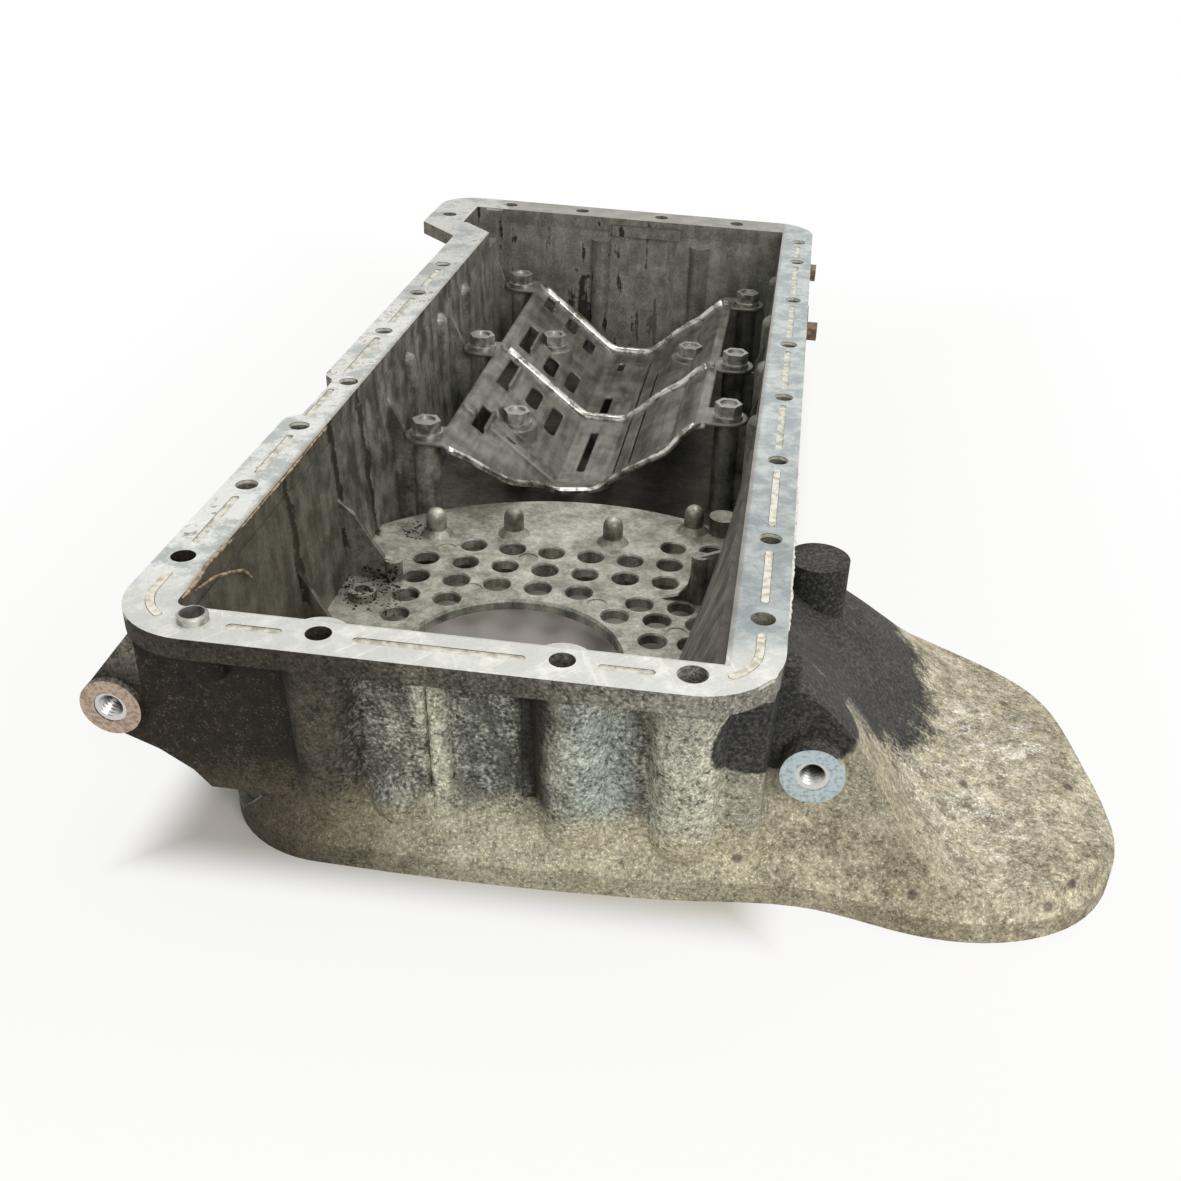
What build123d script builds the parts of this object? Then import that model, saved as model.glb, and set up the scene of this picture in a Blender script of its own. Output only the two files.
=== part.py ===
"""Upper oil pan of an in-line engine: one aluminium casting that carries a stamped windage tray.

Frame: the origin is on the machined block joint face, on the crankshaft centre line, in the middle
of the row of bolts at the gearbox end. +Y runs forward along the engine, +Z up to the block.
All lengths are millimetres.
"""
import os
from math import atan, degrees, hypot

from build123d import *

# ---- block joint flange ---------------------------------------------------------------------
flange_thickness = 8.0
flange_inner_half = 94.0
flange_land = 20.0
flange_half_width = flange_inner_half + flange_land
flange_near = -12.3
flange_far = 568.5
near_inner = 7.7
far_inner = 545.0
near_corner_radius = 30.0
far_corner_radius = 24.0
waist_depth = 6.0
waist_start = 168.0
waist_end = 222.0
bolt_line = 11.0
side_row = flange_inner_half + bolt_line
waist_row = side_row - 4.5
bolt_bore = 9.0
left_rows = (40.4, 100.7, 161.2, 216.0, 288.3, 353.9, 409.7)
right_rows = (39.4, 100.0, 174.0, 248.0, 323.5, 400.4, 478.4, 524.2)
near_bolt_offset = 41.0
near_bulge_radius = 10.5
near_bore_depth = 20.0
near_bulge_depth = 26.0
far_row = 557.0
far_row_places = (-95.0, -45.0, 10.0, 62.0)
chain_bolt_line = 12.0
chain_bolt_y = 520.0
dowel_offset = 84.0
dowel_depth = 10.0
chain_width = 27.0
chain_side = flange_half_width + chain_width
chain_inner = chain_side - 25.0
chain_start = 471.0
chain_step = 498.0
far_pad_start = 484.0
far_pad_width = 12.0
far_pad_inner = flange_inner_half - far_pad_width
ledge_centre = 1.0
ledge_width = 48.0
ledge_reach = 4.0
ledge_top = -4.0
ledge_height = 7.0

# ---- walls, floors and the perforated deck --------------------------------------------------
wall = 5.0
wall_lean = 0.075
wall_corner_top = 10.0
wall_corner_foot = 35.0
bay_corner_top = 5.0
bay_corner_foot = 26.0
pan_height = 100.0
deck_rise = 25.0
deck_top = deck_rise - pan_height
deck_thickness = 5.0
floor_rise = 8.0
floor_top = floor_rise - pan_height
floor_thickness = 5.0
floor_rib_width = 6.0
floor_rib_pitch = 62.0
floor_rib_count = 5
deck_radius = 140.0
deck_centre = (16.0, 123.0)
deck_hole = 12.2
deck_pitch_x = 19.45
deck_pitch_y = 17.6
deck_first_row = 134.9
pickup_radius = 48.0
pickup_centre = (0.0, 110.0)
pickup_chamfer = 1.2
near_bay_end = 262.0
right_foot_draw = 36.0
pin_radius = 5.0
pin_height = 14.0
pin_flare = 8.0
pins = ((-59.5, 213.3), (-22.2, 221.5), (27.7, 222.7), (66.2, 244.4))
left_stud = (-66.9, 164.7)
left_stud_height = 10.5
right_stud = (74.7, 173.7)
right_stud_height = 24.0
stud_radius = 4.0
gusset_thickness = 2.6
near_gusset_y = 110.0
ejector_marks = ((-10.2, 197.7), (-29.9, 163.9), (29.4, 161.5), (68.2, 143.8), (-50.8, 199.2))
ejector_radius = 4.6
ejector_depth = 0.4
hole_chamfer = 0.8
ring_boss = (-76.5, 146.2)
pedestal = (81.0, 245.5)
wall_column_radius = 5.5
wall_column_top = -16.0
far_columns = (-29.0, 39.0)
far_column_radius = 6.5
drain_width = 22.0
drain_height = 8.0
drain_angles = (68.0, 93.0, 118.0)

# ---- front wall -----------------------------------------------------------------------------
front_face = 4.0
front_column_radius = 15.0
front_column_foot = 13.0
front_column_axis = 7.0
front_column_places = (-near_bolt_offset - 2, near_bolt_offset + 3, dowel_offset)
front_column_height = 71.0
front_panels = ((-33.0, -7.0, 3.0, 70.0), (-5.5, 1.5, 6.0, 86.0), (1.0, 26.0, 3.0, 86.0),
                (50.0, 74.0, 2.0, 84.0), (90.0, 111.0, 2.0, 84.0))
panel_round = 2.4
arch_place = -18.5
arch_radius = 14.0
arch_top = -58.0
arch_axis = 14.0
corner_block = (-105.0, -86.0, 26.0)
corner_block_near = 6.0
corner_block_far = 24.0
corner_lug = (flange_half_width + 1.5, 21.0)
corner_lug_radius = 4.5
short_column_radius = 7.5
short_column_bottom = -24.0

# ---- side wing and the lower joint flange ---------------------------------------------------
lower_flange = 9.0
lower_band = 11.0
lower_left = -93.0
lower_near = -1.5
lower_corner = 45.0
lower_middle = (125.0, 105.0)
lower_front = ((10, -2.5), (57, -1), (90, 1.7), (135, 5), (167, -1.5), (203, 0))
lower_side = ((233, 17), (249, 57), (244, 92), (231, 138), (200, 170), (160, 192), (104, 222))
skirt_rise = ((0.0, 0.0), (3.0, 2.0), (8.0, 4.6), (16.0, 7.0), (34.0, 9.0), (94.0, 12.0))
apron_height = 27.0
apron_end = 112.0
wing_skin = 6.0
wing_stations = (-2.0, 20.0, 36.0, 50.0, 63.0, 76.0, 108.0, 158.0)
wing_rises = (
    (-14.0, (80, 68, 54, 40, 28, 20, 13, 9)),
    (20.0, (104, 92, 80, 66, 46, 30, 18, 9)),
    (60.0, (91, 82, 70, 57, 43, 32, 21, 10)),
    (105.0, (81, 72, 62, 53, 43, 33, 21, 10)),
    (148.0, (75, 67, 58, 50, 41, 31, 17, 9)),
    (186.0, (42, 36, 28, 22, 18, 14, 10, 8)),
    (228.0, (11, 10, 10, 10, 9, 9, 8, 7)),
)
stub_radius = 12.8
stub_height = 42.0
stub_top = -19.0
stub_centre = (flange_half_width + 11.8, 124.0)

# ---- gearbox bosses -------------------------------------------------------------------------
boss_radius = 11.3
boss_face = 6.0
boss_length = 24.0
ear_thickness = 12.0
right_boss = (flange_half_width + 13.3, -40.6)
left_boss = (-flange_half_width - 9.2, -45.5)
insert_outer = 12.0
insert_bore = 9.8
insert_depth = 18.0

# ---- windage tray and its bolts -------------------------------------------------------------
tray_thickness = 1.8
tray_steps = ((12.0, 0.0), (16.0, 2.5), (17.5, 5.0), (24.0, 9.1), (25.8, 11.3), (33.0, 18.3), (41.0, 23.9),
              (47.4, 27.1), (49.4, 30.7), (55.0, 35.9))
tray_seat = -38.0
tray_bottom = -77.5
tray_shoulder = 60.0
tray_flat_end = -13.0
tray_gap = 28.5
tray_left = -flange_inner_half + tray_gap
tray_right = flange_inner_half - tray_gap
tray_near = 286.0
tray_far = 512.0
tray_point = 47.0
ear_radius = 11.0
bead_height = 2.2
bead_width = 5.0
bead_rows = (96.5, 215.5)
window_x = -53.6
window_width = 6.4
windows = ((-10.0, 28.0), (51.0, 39.0), (113.0, 38.0), (191.0, 20.0))
lip_x = -49.6
lip_thickness = 1.6
lip_height = 3.4
ovals = ((-38.3, 4.6, 6.0, 7.0), (-38.3, 69.0, 7.0, 26.0), (-38.3, 122.0, 7.0, 26.0), (-38.3, 198.0, 7.0, 22.0),
         (-25.6, 62.0, 6.5, 34.0), (-25.6, 125.0, 6.5, 28.0), (-25.6, 191.0, 6.5, 22.0),
         (-2.7, 47.0, 4.5, 56.0), (-2.7, 117.0, 5.0, 28.0), (-2.7, 184.0, 4.5, 14.0))
slits = ((16.6, 14.0, 76.0), (16.6, 103.0, 87.0), (24.8, 14.0, 76.0), (24.8, 103.0, 51.0),
         (48.4, 10.0, 80.0), (48.4, 103.0, 25.0), (48.4, 164.0, 44.0))
slit_width = 1.5
ear_gap = 19.0
left_ears = ((-flange_inner_half + ear_gap + 2, tray_near - 37), (-flange_inner_half + ear_gap + 0.5, 379.0),
             (-flange_inner_half + ear_gap - 1, tray_far - 10))
right_ears = ((flange_inner_half - ear_gap + 1.5, tray_near + 22.5), (flange_inner_half - ear_gap, 388.0),
              (flange_inner_half - ear_gap + 0.5, tray_far - 8))
slope_seats = ((-40.0, 313.5), (-41.5, 436.5), (45.2, 430.0))
seat_radius = 9.8
post_radius = 6.8
post_web = 2.8
tray_bolt_bore = 9.0
bolt_shank = 8.0
bolt_length = 14.0
bolt_hex = 13.0
bolt_head = 8.0
bolt_washer = 16.5
washer_thickness = 1.8
bolt_dish = 1.2
shank_clearance = 0.15

# ---- dowel, sealant and side fittings -------------------------------------------------------
sleeve_outer = 10.6
sleeve_bore = 8.4
sleeve_stand = 3.0
sleeve_chamfer = 0.8
press_clearance = 0.02
groove_width = 3.2
groove_depth = 0.8
groove_gap = 10.5
corner_groove_sweep = 52.0
corner_groove_tail = 10.0
sealant_gap = 0.2
sealant_stand = 0.3
side_seat_y = (431.0, 550.0)
side_seat_z = (-28.0, -27.0)
side_seat_radius = 8.0
side_seat_stand = 19.0
side_seat_face = flange_inner_half + side_seat_stand
clip_thickness = 2.5
clip_width = 14.0
clip_length = 54.0
side_hex = 10.0
side_head = 6.0
side_shank = 6.0
side_shank_length = 9.0


def prism(outline, top, bottom):
    """Straight block over a plan outline, between two heights."""
    return Pos(0, 0, bottom) * extrude(outline, top - bottom)


def drill(x, y, top, bottom, diameter):
    """Upright cylinder between two heights."""
    return Pos(x, y, (top + bottom) / 2) * Cylinder(diameter / 2, top - bottom)


def along_y(x, y, z, radius, length):
    """Cylinder that starts at (x, y, z) and runs towards +Y."""
    return Pos(x, y + length / 2, z) * Rot(90, 0, 0) * Cylinder(radius, length)


def along_x(x, y, z, radius, length):
    """Cylinder that starts at (x, y, z) and runs towards +X."""
    return Pos(x + length / 2, y, z) * Rot(0, 90, 0) * Cylinder(radius, length)


def side_plate(points, near, thickness):
    """Plate that stands across the pan: outline in X and Z, from a place on Y forward."""
    outline = Plane.XZ * make_face(Polyline(*points, close=True))
    return Pos(0, near + thickness, 0) * extrude(outline, thickness)


def joined(solids):
    """One solid of many."""
    first, *rest = solids
    return first.fuse(*rest) if rest else first


def plan(points, *rounds):
    """Plan face through the points; each round is (radius, number of the corner)."""
    face = make_face(Polyline(*points, close=True))
    for radius, number in rounds:
        corner = Vector(*points[number])
        vertex = min(face.vertices(), key=lambda v: (v.center() - corner).length)
        face = fillet(vertex, radius)
    return face


# ---- block joint ----------------------------------------------------------------------------
def flange_plan():
    """Outer outline of the block joint: waisted on the left, wider over the chain case."""
    half = flange_half_width
    waist = half - waist_depth
    points = [
        (-half, flange_near),
        (half, flange_near),
        (half, flange_far),
        (-chain_side, flange_far),
        (-chain_side, chain_step),
        (-half, chain_start),
        (-half, waist_end),
        (-waist, waist_end - waist_depth),
        (-waist, waist_start + waist_depth),
        (-half, waist_start),
    ]
    return plan(points, (near_corner_radius, 0), (near_corner_radius, 1), (far_corner_radius, 2),
                (far_corner_radius, 3), (4, 5), (5, 6), (5, 7), (5, 8), (5, 9))


def mouth_plan():
    """Inner outline of the block joint, with a bulge round each bolt of the near row."""
    inner = flange_inner_half
    points = [
        (-inner, near_inner),
        (inner, near_inner),
        (inner, far_pad_start),
        (far_pad_inner, far_pad_start + 10),
        (far_pad_inner, far_inner),
        (-chain_inner, far_inner),
        (-chain_inner, chain_step + 9),
        (-inner, chain_step - 13),
    ]
    mouth = plan(points, (4, 0), (4, 1), (4, 3), (6, 4), (6, 5), (4, 6), (3, 7))
    for x in (-near_bolt_offset, near_bolt_offset):
        mouth -= Pos(x, 0) * Circle(near_bulge_radius)
    return mouth


def joint_bolts():
    """Centres of the bolt holes of the block joint; the left row steps in with the waist."""
    near = [(x, 0.0) for x in (-near_bolt_offset, near_bolt_offset)]
    left = [(-(waist_row if waist_start < y < waist_end else side_row), y) for y in left_rows]
    right = [(side_row, y) for y in right_rows]
    far = [(x, far_row) for x in far_row_places]
    return near + left + right + far + [(-chain_side + chain_bolt_line, chain_bolt_y)]


def grooves():
    """Sealing groove segments of the block joint, one between each pair of bolts."""
    runs = []
    for side, rows in ((-1, left_rows), (1, right_rows)):
        for near, far in zip(rows, rows[1:]):
            if far - near > 3 * groove_gap:
                runs.append((side * side_row, (near + far) / 2, 90, far - near - 2 * groove_gap))
    places = (-dowel_offset, -near_bolt_offset, near_bolt_offset, dowel_offset)
    for left, right in zip(places, places[1:]):
        runs.append(((left + right) / 2, -1.5, 0, right - left - 2 * groove_gap - 3))
    slots = [Pos(x, y) * Rot(0, 0, turn) * SlotOverall(length, groove_width) for x, y, turn, length in runs]
    slots += [corner_groove(side, groove_width) for side in (-1, 1)]
    return [prism(slot, 1, -groove_depth) for slot in slots]


# ---- casting: outer forms -------------------------------------------------------------------
def leaned_block(left, right, near, far, top, bottom, lean, corners=(1.0, 1.0)):
    """Tapered block: each side draws in with depth; its near left corner is rounded at top and foot."""
    ends = []
    for level, radius in zip((top, bottom), corners):
        draw = (top - level) * lean
        points = [(left + draw, near + draw), (right - draw, near + draw), (right - draw, far - draw),
                  (left + draw, far - draw)]
        ends.append(Pos(0, 0, level) * plan(points, (radius, 0)))
    return loft(ends, ruled=True)


def crankcase_body():
    """Outer walls of the pan under the block joint, with the pocket under the chain case."""
    outer = flange_inner_half + wall
    bottom = floor_top - floor_thickness
    body = leaned_block(-outer, outer, front_face, far_inner + wall, 0, bottom, wall_lean,
                        (wall_corner_top, wall_corner_foot))
    chain = leaned_block(-chain_inner - wall, 0, chain_step, far_inner + wall, 0, bottom, wall_lean)
    return body + chain


def lower_plan(inset=0.0):
    """Lower joint outline: under the crankcase on the left, out under the wing on the right."""
    left = lower_left + inset
    near = lower_near + inset
    start = (left + lower_corner, near)
    front = [(x, y + inset) for x, y in lower_front]
    side = []
    for x, y in lower_side:
        across, along = x - lower_middle[0], y - lower_middle[1]
        keep = 1 - inset / hypot(across, along)
        side.append((lower_middle[0] + keep * across, lower_middle[1] + keep * along))
    edge = Spline(start, *front, *side)
    corner = RadiusArc(start, (left, near + lower_corner), lower_corner)
    far_left = (left, side[-1][1])
    return make_face([edge, corner, Line((left, near + lower_corner), far_left), Line(far_left, side[-1])])


def skirt(inset=0.0):
    """Outer form of the foot: it draws in, first fast and then slowly, as it rises from the rim."""
    rim = lower_flange - pan_height
    return loft([Pos(0, 0, rim + rise) * lower_plan(inset + draw) for rise, draw in skirt_rise], ruled=True)


def wing_block(drop=0.0):
    """Material under the wing's rolling top face: steep off the wall, then out to a flat rim."""
    rows = [[Vector(flange_inner_half + x, y, rise - drop - pan_height) for x, rise in zip(wing_stations, rises)]
            for y, rises in wing_rises]
    top = Face.make_surface_from_array_of_points(rows, tol=0.2)
    return extrude(top, 2 * pan_height, dir=(0, 0, -1)) & prism(lower_plan(), pan_height, -pan_height)


def wing():
    """Side wing, drawn in above its rim and kept under the block joint."""
    rim = lower_flange - pan_height
    low = prism(lower_plan(), rim, -pan_height)
    slope = wing_block() & skirt() & prism(lower_plan(), -flange_thickness / 2, -pan_height)
    stub = drill(*stub_centre, stub_top, stub_top - stub_height, 2 * stub_radius)
    return slope + low + stub


def front_column(x):
    """Half-round column that leans back with the wall and ends in a ball."""
    shaft = Cone(front_column_foot, front_column_radius, front_column_height,
                 align=(Align.CENTER, Align.CENTER, Align.MAX))
    shaft += Pos(0, 0, -front_column_height) * Sphere(front_column_foot)
    return Pos(x, front_column_axis, -flange_thickness / 2) * Rot(degrees(atan(wall_lean)), 0, 0) * shaft


def front_panel(left, right, stand, height):
    """Flat hump of the wall with rounded edges, leaned back with it."""
    root = front_face + 2 * wall
    face = front_face - stand
    outline = plan([(left - 2, root), (left, face), (right, face), (right + 2, root)],
                   (panel_round, 1), (panel_round, 2))
    return loft([outline, Pos(0, height * wall_lean, -height) * outline], ruled=True)


def front_wall():
    """Bolt columns and humps of the wall at the gearbox end, on an apron that sweeps to the rim."""
    solids = [front_column(x) for x in front_column_places]
    solids += [front_panel(*panel) for panel in front_panels]
    solids.append(drill(-dowel_offset, front_face + 1, 0, short_column_bottom, 2 * short_column_radius))
    solids.append(Pos(arch_place, arch_axis, arch_top - arch_radius) * Sphere(arch_radius))
    left, right, height = corner_block
    block = leaned_block(left, right, corner_block_near, corner_block_far, 0, -height, 0)
    solids.append(block & prism(flange_plan(), 0, -pan_height))
    solids.append(drill(*corner_lug, -flange_thickness / 2, -3 * flange_thickness, 2 * corner_lug_radius))
    rim = lower_flange - pan_height
    span = Pos((lower_left + apron_end) / 2, front_face, rim + apron_height / 2) * Box(
        apron_end - lower_left, 4 * wall, apron_height)
    solids.append(skirt() & span)
    return solids


def ears():
    """Gearbox bosses: the left one on a plate that widens into the corner, the right one on the wing."""
    x, z = left_boss
    half = flange_half_width
    plate = [(-half + 9, -flange_thickness / 2), (x - 6, z + 10.5), (x - 10.5, z + 4), (x - 10.5, z - 4),
             (x - 4, z - 10.8), (-half + 5, -64), (-half + 17, -72), (-half + 23, -79), (-half + 54, -79),
             (-half + 54, -4)]
    left = side_plate(plate, boss_face + 3, ear_thickness)
    left += along_y(x, boss_face, z, boss_radius, boss_length)
    x, z = right_boss
    right = along_y(x, boss_face, z, boss_radius, boss_length)
    return [left, right]


# ---- casting: hollows -----------------------------------------------------------------------
def near_bay(grow=0.0):
    """Bay over the perforated deck. Its right wall is drawn in towards the gearbox end."""
    inner = flange_inner_half + grow
    depth = deck_top - grow
    foot = inner + depth * wall_lean
    near = near_inner - grow
    upper = plan([(-inner, near), (inner, near), (inner, near_bay_end), (-inner, near_bay_end)],
                 (bay_corner_top, 0))
    lower = plan([(-foot, near + 6), (inner - right_foot_draw, near + 6), (foot, near_bay_end),
                  (-foot, near_bay_end)], (bay_corner_foot, 0))
    bay = loft([upper, Pos(0, 0, depth) * lower], ruled=True)
    return bay - near_bulges()


def near_bulges():
    """Thick places of the front wall round the long bolts of the near row."""
    return [drill(x, 0, 0, -near_bulge_depth, 2 * near_bulge_radius) for x in (-near_bolt_offset, near_bolt_offset)]


def far_bay():
    """Deep bay under the windage tray, behind the curved edge of the deck."""
    near = near_bay_end - 60
    inner = flange_inner_half
    bay = leaned_block(-inner, inner, near, far_inner, 0, floor_top, wall_lean)
    bay += leaned_block(-chain_inner, 0, chain_step + 6, far_inner, 0, floor_top + 20, wall_lean)
    shelf = Pos(*deck_centre, deck_top) * Cylinder(
        deck_radius, pan_height, align=(Align.CENTER, Align.CENTER, Align.MAX))
    return bay - shelf


def chamber():
    """Open chamber under the deck and the wing, closed forward by the curved riser."""
    band = lower_plan(lower_band)
    below_deck = prism(band, deck_top - deck_thickness, -pan_height - 1)
    riser = Pos(*deck_centre, 0) * Cylinder(deck_radius - wall, 3 * pan_height)
    under_wing = wing_block(wing_skin) & (skirt(wing_skin) + prism(band, lower_flange - pan_height, -pan_height - 1))
    return ((below_deck & riser) + (under_wing & prism(band, 0, -pan_height - 1))) - near_bay(wall)


def drains():
    """Slots through the foot of the riser, from the far bay into the lower chamber."""
    cuts = []
    for angle in drain_angles:
        slot = Pos(deck_radius, 0, floor_top + drain_height / 2) * Box(4 * wall, drain_width, drain_height)
        cuts.append(Pos(*deck_centre) * Rot(0, 0, angle) * slot)
    return cuts


def deck_holes():
    """Centres of the perforations: rows across the deck, clear of the pickup opening."""
    rows = (
        (0.0, (-3, 3, 3.9)),
        (1.0, (-3, -2, 2, 3, 4)),
        (1.72, (2.5, 3.5)),
        (2.0, (-3, -2, -1, 0, 1)),
        (3.0, (-3, -2, -1, 0, 1, 2, 3)),
        (4.0, (-2, -1, 0, 1, 2, 3)),
        (5.0, (3, 4)),
    )
    return [(column * deck_pitch_x, deck_first_row + row * deck_pitch_y)
            for row, columns in rows for column in columns]


def bored(x, y, diameter, chamfer):
    """Hole through the deck with its upper edge broken."""
    edge = Pos(x, y, deck_top - chamfer / 2 + 0.1) * Cone(diameter / 2, diameter / 2 + chamfer, chamfer + 0.2)
    return drill(x, y, deck_top + 0.1, deck_top - deck_thickness - 1, diameter) + edge


# ---- casting: inner forms -------------------------------------------------------------------
def floor_level(x, y):
    """Level of the floor under a place: on the deck or out in the deep bay."""
    on_deck = hypot(x - deck_centre[0], y - deck_centre[1]) < deck_radius
    return deck_top if on_deck else floor_top


def deck_pins():
    """Domed pins along the far edge of the deck, each on a flared foot."""
    solids = []
    for x, y in pins:
        solids.append(drill(x, y, deck_top + pin_height - pin_radius, deck_top - 1, 2 * pin_radius))
        solids.append(Pos(x, y, deck_top + pin_height - pin_radius) * Sphere(pin_radius))
        solids.append(Pos(x, y, deck_top + 1.5) * Cone(pin_flare, pin_radius, 3))
    return solids


def deck_studs():
    """Small bosses of the deck, tied to the side walls by gussets, and the pedestal by the tray."""
    wall_x = flange_inner_half + 1
    x, y = left_stud
    top = deck_top + left_stud_height
    left = side_plate([(x, top), (x - 4, top + 0.6), (-77, deck_top + 20), (-84, deck_top + 32),
                       (-wall_x, deck_top + 42), (-wall_x, deck_top - 1), (x, deck_top - 1)],
                      y - gusset_thickness / 2, gusset_thickness)
    left += drill(x, y, top, deck_top - 1, 2 * stud_radius)
    x, y = right_stud
    top = deck_top + right_stud_height
    right = side_plate([(x - 17, deck_top), (x - 9, deck_top + 2.5), (x - 5, deck_top + 8), (x - 3, top - 4),
                        (x, top), (wall_x, top + 8), (wall_x, deck_top - 1), (x - 17, deck_top - 1)],
                       y - gusset_thickness / 2, gusset_thickness)
    right += drill(x, y, top, deck_top - 1, 2 * stud_radius)
    near_left = side_plate([(-wall_x, deck_top + 39), (-wall_x + 7, deck_top + 27), (-wall_x + 12, deck_top + 18),
                            (-wall_x + 17, deck_top + 9), (-wall_x + 22, deck_top), (-wall_x + 22, deck_top - 1),
                            (-wall_x, deck_top - 1)], near_gusset_y - gusset_thickness / 2, gusset_thickness)
    ring = drill(*ring_boss, deck_top + 4, deck_top - 1, 13) - drill(*ring_boss, deck_top + 5, deck_top + 1, 7)
    stand = drill(*pedestal, deck_top + 9, deck_top - 1, 14)
    return [left, right, near_left, ring, stand]


def tray_profile():
    """Height of the tray's top face along X: a plain left slope and a stepped right slope."""
    left = [(-flange_inner_half, tray_seat), (-tray_shoulder - 2, tray_seat), (tray_flat_end, tray_bottom)]
    steps = [(x, tray_bottom + rise) for x, rise in tray_steps]
    return left + steps + [(tray_shoulder, tray_seat), (flange_inner_half, tray_seat)]


def tray_height(x):
    """Top face of the tray at a place across it."""
    line = tray_profile()
    for (x0, z0), (x1, z1) in zip(line, line[1:]):
        if x0 <= x <= x1:
            return z0 + (z1 - z0) * (x - x0) / (x1 - x0)
    return tray_seat


def tray_places():
    """Bolt places of the tray as (x, y, seat height)."""
    ears_flat = [(x, y, tray_seat) for x, y in left_ears + right_ears]
    return ears_flat + [(x, y, tray_height(x)) for x, y in slope_seats]


def posts():
    """Posts that carry the tray; those at its sides are tied to the wall by a thin web."""
    solids = []
    for x, y, seat in tray_places():
        top = seat - tray_thickness
        foot = floor_level(x, y)
        solids.append(drill(x, y, top, foot - 1, 2 * post_radius))
        if abs(x) > tray_shoulder:
            side = 1 if x > 0 else -1
            wall_x = side * (flange_inner_half + 1)
            edge_x = x + side * (ear_radius + 0.6)
            web = [(x, top - 2), (edge_x, top - 2), (edge_x, top + 4), (wall_x, top + 24), (wall_x, foot), (x, foot)]
            solids.append(side_plate(web, y - post_web / 2, post_web))
    return solids


def wall_columns():
    """Half-round columns inside the side walls, one under each joint bolt past the deck."""
    solids = []
    inner = flange_inner_half
    for side, rows in ((-1, left_rows), (1, right_rows)):
        for y in rows:
            if waist_end < y < far_pad_start:
                foot = floor_level(side * inner, y)
                column = drill(side * inner, y, wall_column_top, foot - 1, 2 * wall_column_radius)
                solids.append(column + Pos(side * inner, y, wall_column_top) * Sphere(wall_column_radius))
    for x in far_columns:
        solids.append(drill(x, far_inner - 3, -14, floor_top - 1, 2 * far_column_radius))
    ledge = Pos(ledge_centre, far_inner, ledge_top - ledge_height / 2) * Box(ledge_width, 2 * ledge_reach, ledge_height)
    return solids + [ledge]


def floor_ribs():
    """Stiffening ribs under the deep bay, level with the lower joint."""
    solids = []
    under = floor_top - floor_thickness
    for number in range(floor_rib_count):
        y = far_inner - 12 - number * floor_rib_pitch
        solids.append(Pos(0, y, (under + 1 - pan_height) / 2) * Box(
            2 * flange_inner_half - 16, floor_rib_width, pan_height + under + 1))
    return solids


def side_seats():
    """Bosses on the right outer wall for the clip and the plug bolt."""
    outer = flange_inner_half
    return [along_x(outer, y, z, side_seat_radius, side_seat_face - outer)
            for y, z in zip(side_seat_y, side_seat_z)]


def side_threads():
    bore = side_shank / 2 + shank_clearance
    return [along_x(side_seat_face - side_shank_length - 1, y, z, bore, side_shank_length + 5)
            for y, z in zip(side_seat_y, side_seat_z)]


def pan_casting():
    body = joined([prism(flange_plan(), 0, -flange_thickness), crankcase_body(),
                   prism(lower_plan(), -pan_height + lower_flange, -pan_height), wing()])
    for group in (front_wall(), ears(), side_seats(), floor_ribs()):
        body = joined([body] + group)
    body -= prism(mouth_plan(), 1, -flange_thickness - 1)
    body -= near_bay()
    body -= far_bay()
    body -= chamber()
    inner = joined(deck_pins() + deck_studs() + posts() + wall_columns())
    body += inner
    cuts = [drill(x, y, 1, -near_bore_depth if y == 0 else -flange_thickness - 12, bolt_bore)
            for x, y in joint_bolts()]
    cuts += [bored(x, y, deck_hole, hole_chamfer) for x, y in deck_holes()]
    cuts.append(bored(*pickup_centre, 2 * pickup_radius, pickup_chamfer))
    cuts += [drill(x, y, deck_top + 1, deck_top - ejector_depth, 2 * ejector_radius) for x, y in ejector_marks]
    cuts += [drill(side * dowel_offset, 0, 1, -dowel_depth, sleeve_outer + 2 * press_clearance)
             for side in (-1, 1)]
    cuts += [along_y(x, boss_face - 1, z, insert_outer / 2 + press_clearance, insert_depth + 1)
             for x, z in (left_boss, right_boss)]
    cuts += [drill(x, y, seat, seat - bolt_length - 2, bolt_shank + 2 * shank_clearance)
             for x, y, seat in tray_places()]
    cuts += side_threads() + drains() + grooves()
    return body.cut(*cuts)


# ---- windage tray ---------------------------------------------------------------------------
def tray_skin(raise_top, drop_bottom, near, far):
    """Tray section between two offsets of its top face, run along Y."""
    line = tray_profile()
    upper = [(x, z + raise_top) for x, z in line]
    lower = [(x, z - drop_bottom) for x, z in reversed(line)]
    return side_plate(upper + lower, near, far - near)


def tray_plan():
    """Blank outline of the tray: body with a drawn-out near corner, and three ears a side."""
    point = tray_near - tray_point
    body = plan([(tray_left, point), (tray_left + 15, point + 5), (tray_left + 35, point + 15),
                 (tray_left + 47, tray_near - 8), (tray_left + 83, tray_near + 1),
                 (tray_right - 20, tray_near - 3), (tray_right, tray_near + 6), (tray_right, tray_far),
                 (tray_left, tray_far)], (12, 2), (10, 3), (5, 7), (5, 8))
    for side, ears_row in ((-1, left_ears), (1, right_ears)):
        edge = (tray_left if side < 0 else tray_right) - 8 * side
        for x, y in ears_row:
            body += Pos((x + edge) / 2, y) * Rectangle(abs(x - edge), 2 * ear_radius)
            body += Pos(x, y) * Circle(ear_radius)
    return body


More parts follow.
